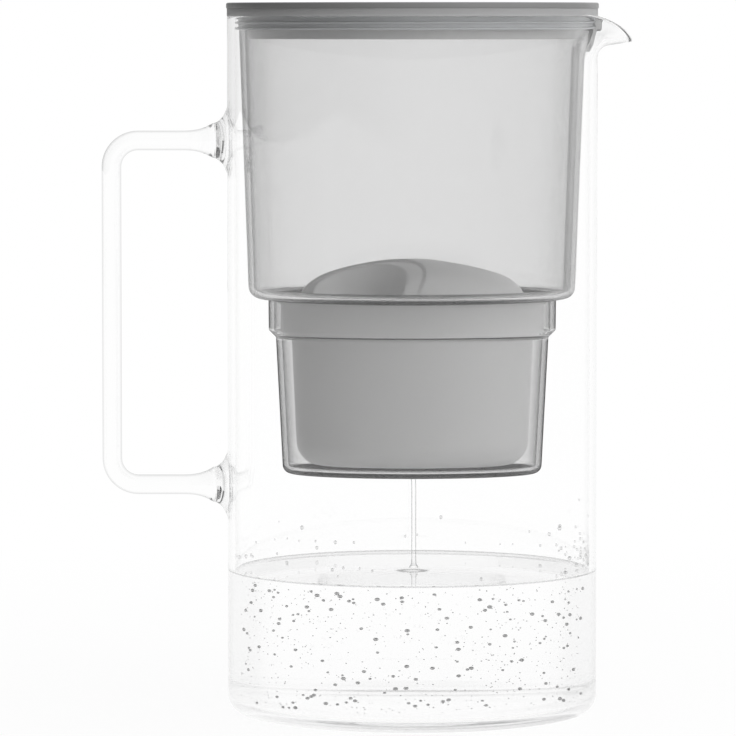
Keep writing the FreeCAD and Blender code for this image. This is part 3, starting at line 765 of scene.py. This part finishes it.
rows = np.concatenate([plate_rows(0.0, -hole_edge[:, 0], lid_radius, hole_edge[:, 1]),
                       plate_rows(between, 0.0, edge_start, lid_top),
                       plate_rows(1.0, 0.0, edge[:, 0], edge[:, 1]),
                       plate_rows(between[::-1], 0.0, edge_start, lid_low)])
share, growth, radius, level = rows.T[..., None, None]
lid_spin = turns(192)
ray = np.stack([np.cos(lid_spin), np.sin(lid_spin)], -1)[None]
plan = (1 - share) * (np.array([hole_x, 0.0]) + (hole_radius + growth) * ray) + share * radius * ray
plate_rings = np.concatenate([plan, np.broadcast_to(level, plan.shape[:2] + (1,))], -1)
lid = skin("lid_plate", plate_rings, loop=True)
dress(lid, lid_plastic, "lid", "lid_plastic", "lid_cover")

# %% The lid's ring
skirt_corners = [(58.0, 241.2), (58.81, 241.2), (58.81, 252.0), (54.6, 252.0), (54.6, 250.8), (57.2, 250.8),
                 (57.2, 241.2), (58.0, 241.2)]
skirt_section = rounded(skirt_corners, [0.35, 0.2, 0.2, 0.3, 0.6, 0.35], [0, 5, 1, 0, 1, 5, 0], 5)[:-1]
skirt = skin("lid_ring", spun(skirt_section, lid_spin), loop=True)
dress(skirt, ring_painted_lighter, "lid", "lid_plastic", "lid_skirt")

# %% [markdown]
# The cartridge
#
# The cartridge is a light grey cup with a domed cap. Fingers take the cap by a ridge that runs slantwise between
# two scoops, one at the front left and one at the back right. The cap's top is one height function over an
# oval: the dome, less the scoops, with a smooth minimum so that the edges between them stay soft.

# %% Cartridge plastic and the cap's height
cartridge_plastic = finish_of("cartridge_plastic", 0.465, 0.36, (18.0, 0.453, 0.477), (260.0, 0.32, 0.45),
                              (2200.0, 0.03, 0.25), Specular_IOR_Level=0.8)
cap_half_length, cap_half_width, cap_top, cap_bottom = 47.8, 29.0, 148.9, 147.3
dome_half_length, dome_half_width, dome_height = 40.0, 23.5, 14.0
scoop_x, scoop_y, scoop_radius, scoop_floor, scoop_slope = 23.0, 25.0, 19.0, 150.7, 2.0
scoop_band, band_drop, scoop_soft = 5.0, 1.0, 0.5


def cap_height(x, y):
    """The dome is an ellipsoid's upper half on the plate, cut by two scoops with steep round walls.

    Beside each scoop the dome is let down by a millimetre over a strip five millimetres wide, which leaves the
    band that goes round the scoop's edge. Distances are taken from the scoop's wall at the dome's height.
    """
    outward = (x / dome_half_length) ** 2 + (y / dome_half_width) ** 2
    dome = cap_top + dome_height * np.sqrt(np.clip(1 - outward, 0, 1))
    height = dome
    for side in (-1, 1):
        distance = np.hypot(x - side * scoop_x, y - side * scoop_y)
        outside = distance - scoop_radius - (dome - scoop_floor) / scoop_slope
        height = height - band_drop * (1 - eased(np.clip(outside - scoop_band, 0, 1)))
        height = low_blend(height, scoop_floor + scoop_slope * (distance - scoop_radius), scoop_soft)
        height = np.where(distance < scoop_radius, np.minimum(height, scoop_floor), height)
    return np.clip(height, cap_top, None)


# %% The cap's skin and its inlets
cap_spin = turns(240)
reach = np.concatenate([np.linspace(0.02, 0.78, 110), np.linspace(0.785, 0.87, 18), [0.91, 0.95]])[:, None]
crown = ovals(cap_half_length * reach, cap_half_width * reach, 0.0, cap_spin)
crown[..., 2] = cap_height(crown[..., 0], crown[..., 1])
side = np.array([(0.5, cap_top), (0.15, 148.8), (0.0, 148.4), (0.0, cap_bottom), (0.9, cap_bottom), (0.9, 138.0),
                 (0.9, 136.5), (1.1, 136.2), (2.3, 136.2), (2.5, 136.5), (2.5, cap_bottom)])
inset, level = side[:, :1], side[:, 1:]
cap_side = ovals(cap_half_length - inset, cap_half_width - inset, level, cap_spin)
under = np.array([0.9, 0.6, 0.3, 0.1])[:, None]
cap_under = ovals(cap_half_length * under, cap_half_width * under, cap_bottom, cap_spin)
cap = skin("cartridge_cap_domed", np.concatenate([crown, cap_side, cap_under]),
           low_pole=(0, 0, float(cap_height(np.zeros(1), np.zeros(1))[0])), high_pole=(0, 0, cap_bottom), sharp=40)
inlet_count, inlet_half_length, inlet_half_width = 20, 43.1, 25.45
inlet_size, inlet_levels = (3.6, 1.0), (146.0, 150.0)
inlet = FULL_TURN * (np.arange(inlet_count) + 0.5) / inlet_count
inlet_middles = np.stack([inlet_half_length * np.cos(inlet), inlet_half_width * np.sin(inlet)], -1)
inlet_turns = np.arctan2(inlet_half_width * np.cos(inlet), -inlet_half_length * np.sin(inlet))
boolean(cap, "DIFFERENCE", slot_cutters(inlet_middles, inlet_turns, *inlet_size, *inlet_levels), 40)
dress(cap, cartridge_plastic, "cartridge", "cartridge_plastic", "cartridge_cap")

# %% The cup's skin
cup_slope, cup_wall, cup_low, cup_top, cup_corner = np.tan(np.radians(2.6)), 1.5, 89.0, 147.25, 9.0
cup_half_length, cup_half_width, cup_pole_ring = 43.5, 26.9, 4.0
cup_slot_x, cup_slot_size, cup_slot_levels = (-12.0, -6.0, 0.0, 6.0, 12.0), (9.0, 1.2), (88.0, 91.0)


def cup_section(half, wall):
    """The cup in one direction: a tapered side, a round bottom corner and a flat floor."""
    bottom = cup_low + wall
    foot = half - wall - cup_slope * (cup_top - bottom)
    return rounded([(half - wall, cup_top), (foot, bottom), (cup_pole_ring, bottom)], [cup_corner - wall], [24, 5], 10)


cup_inside, cup_outside = (oval(cup_section(cup_half_length, wall), cup_section(cup_half_width, wall), cap_spin)
                           for wall in (cup_wall, 0.0))
cup = skin("cartridge_cup_oval", np.concatenate([cup_inside[::-1], cup_outside]),
           low_pole=(0, 0, cup_low + cup_wall), high_pole=(0, 0, cup_low), sharp=40)
boolean(cup, "DIFFERENCE", crosswise_slots(cup_slot_x, *cup_slot_size, *cup_slot_levels), 40)
dress(cup, cartridge_plastic, "cartridge", "cartridge_plastic", "cartridge_cup")

# %% [markdown]
# The dark ring
#
# A thin dark line lies where the cartridge meets the socket's mouth. It is a soft ring in a groove of the cap,
# so it is a small rounded section carried round the cap's oval.

# %% Dark rubber and the cartridge ring
dark_rubber = finish_of("dark_rubber", 0.012, 0.6, rough=(500.0, 0.5, 0.7), bump=(1500.0, 0.04, 0.3))
bead_level, bead_half_width, bead_half_height, bead_offset = 149.0, 0.8, 0.9, 0.5
bead = turns(16)[:, None]
bead_out = bead_offset + bead_half_width * np.cos(bead)
bead_up = bead_level + bead_half_height * np.sin(bead)
ring_rows = ovals(cap_half_length + bead_out, cap_half_width + bead_out, bead_up, cap_spin)
ring = skin("cartridge_ring", ring_rows, loop=True)
dress(ring, dark_rubber, "cartridge", "dark_rubber", "cartridge_seal")

# %% [markdown]
# Pieces that keep their solids
#
# The filter bed, its sheets and the parts of the indicator are plain turned or flat shapes, mostly shut away, so
# their solids stay as they are. Each still gets a finish of its own: granules from a cell pattern, fleece from
# fine noise, lacquered board, steel with a grain, milky lamps.


# %% Finishes of the filter bed
def paint(material, *names):
    """Puts a finish on solids that stay in view of an opened pitcher."""
    for name in names:
        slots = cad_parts[name].data.materials
        slots.clear()
        slots.append(material)


filter_granules = finish_of("filter_granules", (0.2, 0.17, 0.14), 0.7)
granules_per_metre, granule_relief = 1400.0, 0.3 * MM
tree = filter_granules.node_tree
cells = add_node(tree, "TexVoronoi", {"Vector": object_place(tree), "Scale": granules_per_metre}, "Color")
into_shader(tree, "Base Color", ramp(tree, cells, (0.0, (0.03, 0.028, 0.025)), (1.0, (0.62, 0.55, 0.44))))
relief = {"Distance": granule_relief, "Height": cells.node.outputs["Distance"]}
into_shader(tree, "Normal", add_node(tree, "Bump", relief))
paint(filter_granules, "filter_media")

fleece_detail = 6.0
screen_fabric = finish_of("screen_fabric", (0.8, 0.8, 0.78), 0.85,
                          wander=(900.0, (0.72, 0.72, 0.70), (0.85, 0.85, 0.83), fleece_detail),
                          bump=(2400.0, 0.1, 0.6, fleece_detail))
paint(screen_fabric, "lower_screen", "upper_screen")

# %% Finishes of the indicator
contact_steel = finish_of("contact_steel", (0.62, 0.62, 0.61), 0.28, rough=(700.0, 0.2, 0.38, 5.0), Metallic=1.0)
board_laminate = finish_of("board_laminate", (0.03, 0.16, 0.08), 0.35,
                           (300.0, (0.025, 0.14, 0.07), (0.035, 0.18, 0.09)), (600.0, 0.3, 0.42))
dark_plastic = finish_of("dark_plastic", 0.04, 0.5, rough=(500.0, 0.42, 0.58), bump=(1800.0, 0.03, 0.3))
lamp_plastic = finish_of("lamp_plastic", (0.78, 0.8, 0.79), 0.25, rough=(800.0, 0.2, 0.32), Transmission_Weight=0.3)
button_plastic = finish_of("button_plastic", (0.4, 0.405, 0.41), 0.42,
                           (60.0, (0.385, 0.39, 0.395), (0.415, 0.42, 0.425)), (400.0, 0.36, 0.48),
                           (2400.0, 0.03, 0.25))
paint(contact_steel, "battery_contact", "coin_cell")
paint(board_laminate, "circuit_board")
paint(dark_plastic, "button_switch")
paint(lamp_plastic, "indicator_lamps", "indicator_windows")
paint(button_plastic, "indicator_button")
paint(lid_plastic, "indicator_pod", "battery_door")
paint(dark_rubber, "door_ring")
print("solids that stay:", [name for name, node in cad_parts.items() if not node.hide_render])

# %% [markdown]
# The water
#
# The jug holds a little filtered water, up to a fifth of its height. It is a closed skin whose side reaches a
# hair into the glass, so that light goes from glass to water with no air between, and whose top edge climbs
# the glass as water does; painted shade greys that edge in a band, and greys the sides above the floor where the
# look goes along them. In the middle, where the filtered water falls in, the surface dips and ring waves run out.
# Painted shade makes the dip dark where the look goes along the surface: a near-black matt and a grey tint, for
# the dark seen in it. The water rides on the jug and is no solid of the part.

# %% Clear water
water_ior, water_level, water_climb = 1.333, 51.3, 0.8
brim_painted_shade_grey, splash_painted_shade_grey, splash_painted_shade_share = 0.62, 0.05, 0.5
splash_radius, splash_edge, floor_line, clear_of_floor = 5.0, 6.5, 6, 9
low_look, flat_look = 0.6, 0.8
side_painted_shade_stops = ((0.13, 1.0), (0.17, 0.97), (0.2, 0.9), (0.3, 0.89), (1.0, 0.80))
fresh_water = finish_of("fresh_water", WHITE, 0.0, rough=(60.0, 0.0, 0.006), bump=(45.0, 0.5, 0.08),
                        IOR=water_ior, Transmission_Weight=1.0)
tree = fresh_water.node_tree
slant, spot = facing(tree), object_place(tree)
height = part_of(tree, spot, "Z")
centre = (0, 0, water_level * MM)
# Painted shade: a near-black matt and a grey tint in the dip where the look goes along the surface.
from_dip = add_node(tree, "VectorMath", {0: spot, 1: centre}, "Value", operation="DISTANCE")
in_dip = graded(tree, from_dip, splash_edge * MM, splash_radius * MM, 0.0, splash_painted_shade_share)
splash = maths(tree, "MULTIPLY", graded(tree, slant, low_look, flat_look), in_dip)
cover(tree, splash, matt(tree, splash_painted_shade_grey))
let_lamps_through(fresh_water)
# Painted shade: a grey band where the water's top edge climbs the glass.
brim_low, brim_high = ((water_level + water_climb * share) * MM for share in (0.25, 0.4))
shaded = maths(tree, "MAXIMUM", splash, graded(tree, height, brim_low, brim_high))
# Painted shade: the water greys where the look goes along its sides and top, but not near the floor.
off_floor = graded(tree, height, floor_line * MM, clear_of_floor * MM)
side_painted_shade = colour_mix(tree, off_floor, WHITE, ramp(tree, slant, *side_painted_shade_stops))
into_shader(tree, "Base Color", colour_mix(tree, shaded, side_painted_shade, brim_painted_shade_grey))

# %% Water in the foot of the jug
into_glass, water_pole_ring = 0.25, 8
wave_height, wave_length, wave_reach, dip_depth, dip_width = 0.16, 4.5, 6.0, 1.0, 5.0
water_radius, water_low = inside_radius + into_glass, jug_floor - into_glass
water_side = rounded([(water_pole_ring, water_low), (water_radius, water_low),
                      (water_radius, water_level + water_climb)], [inner_heel_radius], [6, 20], 10)
climb = np.concatenate([[0.0, 0.15, 0.4, 0.8, 1.4, 2.2, 3.4, 5.0, 8.0, 14.0, 22.0, 30.0], np.linspace(36, 63, 64)])
from_middle = inside_radius - climb
waves = wave_height * np.cos(FULL_TURN * from_middle / wave_length) * np.exp(-from_middle / wave_reach)
waves = waves - dip_depth * np.exp(-((from_middle / dip_width) ** 2))
water_top = np.stack([from_middle, water_level + water_climb * np.exp(-climb / 0.8) + waves], -1)
water = skin("water_fill", spun(np.concatenate([water_side, water_top]), lid_spin),
             low_pole=(0, 0, water_low), high_pole=(0, 0, water_level - (dip_depth - wave_height)))
water.data.materials.append(fresh_water)
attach(water, "jug")

# %% [markdown]
# Bubbles and drops
#
# Air comes out of fresh water as small bubbles that cling to the glass, and a few splashed drops stay on the
# wall above the water. Instances of a sphere would do, but one mesh is easier to carry about: every bubble
# is the same coarse grid, moved and scaled at once by broadcasting, at places drawn with a fixed seed.

# %% Many small spheres in one mesh
chance = np.random.default_rng(24)


def many_spheres(name, middles, radii, squash):
    """Spheres of six rows and eight columns: middle + radius * (cos u cos v, cos u sin v, squash sin u)."""
    rows, columns = 6, 8
    u = np.linspace(-np.pi / 2, np.pi / 2, rows)[:, None]
    unit = ovals(np.cos(u), np.cos(u), squash * np.sin(u), turns(columns))
    unit = np.concatenate([unit[0, :1], unit[1:-1].reshape(-1, 3), unit[-1, :1]])
    points = middles[:, None] + radii[:, None, None] * unit
    number = 1 + np.arange((rows - 2) * columns).reshape(rows - 2, columns)
    beside = np.roll(number, -1, 1)
    quads = np.stack([number[:-1], beside[:-1], beside[1:], number[1:]], -1).reshape(-1, 4)
    low = np.stack([np.zeros(columns, int), beside[0], number[0]], -1)
    high = np.stack([np.full(columns, unit.shape[0] - 1), number[-1], beside[-1]], -1)
    start = np.arange(len(middles))[:, None, None] * len(unit)
    fans = (start + np.concatenate([low, high])).reshape(-1, 3).tolist()
    piece = new_piece(name, points.reshape(-1, 3), (start + quads).reshape(-1, 4).tolist() + fans)
    smooth(piece, 80)
    print(f"{name}: {len(middles)} spheres of {len(quads) + len(low) + len(high)} faces")
    return piece


def on_glass(angles, levels, radii):
    """Places just inside the jug's wall, at the given angles and levels."""
    sunk = 0.8
    reach = inside_radius - radii * sunk
    return ovals(reach, reach, levels, angles)


def bead_finish(name, side_painted_shade_grey, top_painted_shade_grey):
    """Clear beads with painted shade: their colour is darker on top and paler on their sides and below."""
    material = finish_of(name, WHITE, 0.0, rough=(900.0, 0.0, 0.05), IOR=1.12, Transmission_Weight=1.0)
    let_lamps_through(material)
    tree = material.node_tree
    # Painted shade: the colour follows how far the surface faces up, darkest on top.
    upward = part_of(tree, add_node(tree, "NewGeometry", {}, "Normal"), "Z")
    into_shader(tree, "Base Color", ramp(tree, upward, (0.0, side_painted_shade_grey), (0.5, top_painted_shade_grey)))
    return material


# %% Bubbles under water
large, small, bubble_spread, bubble_squash, front = 150, 640, 1.2, 0.62, np.pi / 2
lowest_bubble = 7.5
bubble_radii = np.concatenate([chance.uniform(0.5, 1.05, large), chance.uniform(0.15, 0.32, small)])
bubble_levels = np.concatenate([chance.uniform(lowest_bubble, water_level - 1.5, large),
                                chance.uniform(lowest_bubble, water_level - 0.5, small)])
bubble_angles = chance.uniform(-bubble_spread, bubble_spread, large + small) - front
bubble_places = on_glass(bubble_angles, bubble_levels, bubble_radii)
bubbles = many_spheres("water_bubbles", bubble_places, bubble_radii, bubble_squash)
bubbles.data.materials.append(bead_finish("bubble_air", 0.6, 0.1))
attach(bubbles, "jug")

# %% Drops above the water
drop_count, drop_stretch, mean_rise, spout_spread = 90, 1.15, 4.0, 0.45
near_spout, lowest_drop = drop_count // 2, 2.5
drop_radii = chance.uniform(0.3, 0.75, drop_count)
drop_levels = water_level + lowest_drop + chance.exponential(mean_rise, drop_count)
drop_angles = np.concatenate([chance.normal(0.0, spout_spread, near_spout),
                              chance.uniform(0, FULL_TURN, drop_count - near_spout)])
drops = many_spheres("wall_drops", on_glass(drop_angles, drop_levels, drop_radii), drop_radii, drop_stretch)
drops.data.materials.append(bead_finish("drop_water", 0.9, 0.45))
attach(drops, "jug")

# %% [markdown]
# The falling water
#
# Filtered water runs out of the first outlet as a thin thread. A falling thread narrows as it gathers speed: the
# same flow has to pass at every height. It clings to the outlet's edge for its first few millimetres, then hangs
# straight down from the socket and rides with it.

# %% The thread of water
falling_water = finish_of("falling_water", WHITE, 0.0, rough=(200.0, 0.0, 0.02), IOR=water_ior,
                          Transmission_Weight=1.0)
let_lamps_through(falling_water)
tree = falling_water.node_tree
thread_edge_painted_shade = (0.2, 0.205, 0.205)
# Painted shade: the thread's colour turns dark grey where the look goes along its surface.
into_shader(tree, "Base Color", ramp(tree, facing(tree), (0.12, WHITE), (0.5, thread_edge_painted_shade)))
thread_top, thread_length, thread_half, thread_place, cling, cling_fall = socket_low + 0.3, 34.3, 0.88, 0.6, 1.6, 1.2
fall = np.concatenate([np.linspace(0, 3, 10), np.linspace(3, thread_length, 24)[1:]])
root_swell = 1.0 * np.exp(-fall / 0.8)
foot_swell = 0.9 * np.exp(-(thread_length - fall) / 0.7)
narrowing = 0.05 * (fall / thread_length) ** 0.25
thread_x = thread_place - cling * np.exp(-fall / cling_fall)
thread_section = np.stack([thread_half + root_swell + foot_swell - narrowing, thread_top - fall], -1)
thread_rings = spun(thread_section, turns(24))
thread_rings[..., 0] += thread_x[:, None]
thread = skin("water_thread", thread_rings, low_pole=(thread_x[0], 0, thread_top),
              high_pole=(thread_x[-1], 0, thread_top - thread_length - 0.1), sharp=60)
thread.data.materials.append(falling_water)
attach(thread, "funnel_body")

# %% [markdown]
# Floor, light and camera
#
# The pitcher stands in a white product studio. The floor and the surroundings look white to the camera and in
# the glass, while the lamps light the object at a plain level: a large soft box at the right front and a dimmer
# one above. A long lens far away looks along +Y, a little down, as in the photograph.


# %% White floor that keeps the shadow
def seen_by(tree, *kinds):
    """1 for rays of the given kinds and 0 for others, as the largest of the Light Path's outputs."""
    path = tree.nodes.new("ShaderNodeLightPath").outputs
    value = path[kinds[0]]
    for kind in kinds[1:]:
        value = maths(tree, "MAXIMUM", value, path[kind])
    return value


floor_half, floor_level, floor_grey = 9000.0, -0.4, 0.88
near, far, near_glow = 0.15, 0.6, 0.92
floor_corners = np.array([(-1, -1), (1, -1), (1, 1), (-1, 1)]) * floor_half
floor = new_piece("studio_floor", np.insert(floor_corners, 2, floor_level, 1), [(0, 1, 2, 3)])
floor_white = bpy.data.materials.new("floor_white")
floor_white.use_nodes = True
tree = floor_white.node_tree
tree.nodes.remove(tree.nodes["Principled BSDF"])
tree.links.new(matt(tree, floor_grey), tree.nodes["Material Output"].inputs["Surface"])
away = add_node(tree, "VectorMath", {0: object_place(tree)}, "Value", operation="LENGTH")
seen = seen_by(tree, "Is Camera Ray", "Is Glossy Ray", "Is Transmission Ray")
share = maths(tree, "MULTIPLY", graded(tree, away, near, far, near_glow, 1.0), seen)
cover(tree, share, add_node(tree, "Emission", {}))
floor.data.materials.append(floor_white)

# %% Surroundings: white to the eye and through glass, darker to the left in reflections, a soft fill for the rest
world = bpy.data.worlds.new("studio")
scene.world = world
world.use_nodes = True
tree = world.node_tree
direction = add_node(tree, "TexCoord", {}, "Generated")


def surround(axis, low, high, low_grey, high_grey):
    """A background whose grey goes from low_grey to high_grey as a direction's axis part goes from low to high."""
    grey = graded(tree, part_of(tree, direction, axis), low, high, low_grey, high_grey,
                  interpolation_type="SMOOTHSTEP")
    return add_node(tree, "Background", {"Color": grey})


def choose(kind, chosen, other):
    """One background for rays of a kind and another for the rest."""
    return add_node(tree, "MixShader", {"Fac": seen_by(tree, kind), 1: other, 2: chosen})


fill = surround("X", -1.0, 1.0, 0.18, 0.75)
mirrored = surround("X", -1.0, 0.3, 0.12, 1.0)
through = surround("Z", 0.35, 1.0, 1.0, 0.8)
plain_white = surround("Z", -1.0, 1.0, 1.0, 1.0)
backdrop = choose("Is Transmission Ray", through, choose("Is Glossy Ray", mirrored, fill))
backdrop = choose("Is Camera Ray", plain_white, backdrop)
tree.links.new(backdrop, tree.nodes["World Output"].inputs["Surface"])


# %% Soft boxes
def set_up(name, data, place, aim):
    """Puts a lamp or camera at a place and turns it towards the aim point; returns it and its slope in degrees."""
    thing = bpy.data.objects.new(name, data)
    away = np.array(place) - np.array(aim)
    level = np.hypot(away[0], away[1])
    thing.location = place
    thing.rotation_euler = (np.arctan2(level, away[2]), 0, np.arctan2(away[0], -away[1]))
    scene.collection.objects.link(thing)
    return thing, float(np.degrees(np.arctan2(away[2], level)))


def soft_box(name, place, side, power):
    """A square area lamp that looks at the pitcher; it lights matt surfaces and is not itself seen in the glass."""
    lamp = bpy.data.lights.new(name, "AREA")
    lamp.shape, lamp.size, lamp.size_y, lamp.energy = "RECTANGLE", side, side, power
    box, slope = set_up(name, lamp, place, (0, 0, 0.14))
    box.visible_camera = box.visible_glossy = box.visible_transmission = False
    print(f"{name}: {slope:.0f} degrees above the pitcher")


soft_box("right_box", (1.7, -1.5, 0.7), 2.0, 42.0)
soft_box("top_box", (0.3, -0.2, 1.8), 1.6, 15.0)

# %% Camera
camera_data = bpy.data.cameras.new("photograph_view")
camera_data.sensor_width, camera_data.lens = 36.0, 260.5
camera, slope = set_up("photograph_view", camera_data, (-0.0158, -1.9, 0.248), (-0.0158, 0.0, 0.1237))
scene.camera = camera
scene.view_settings.view_transform = "Standard"
scene.cycles.max_bounces = scene.cycles.transmission_bounces = scene.cycles.glossy_bounces = 32
scene.cycles.transparent_max_bounces = 48
scene.cycles.caustics_refractive = scene.cycles.caustics_reflective = False
print("camera", round(slope, 2), "degrees above the horizon")
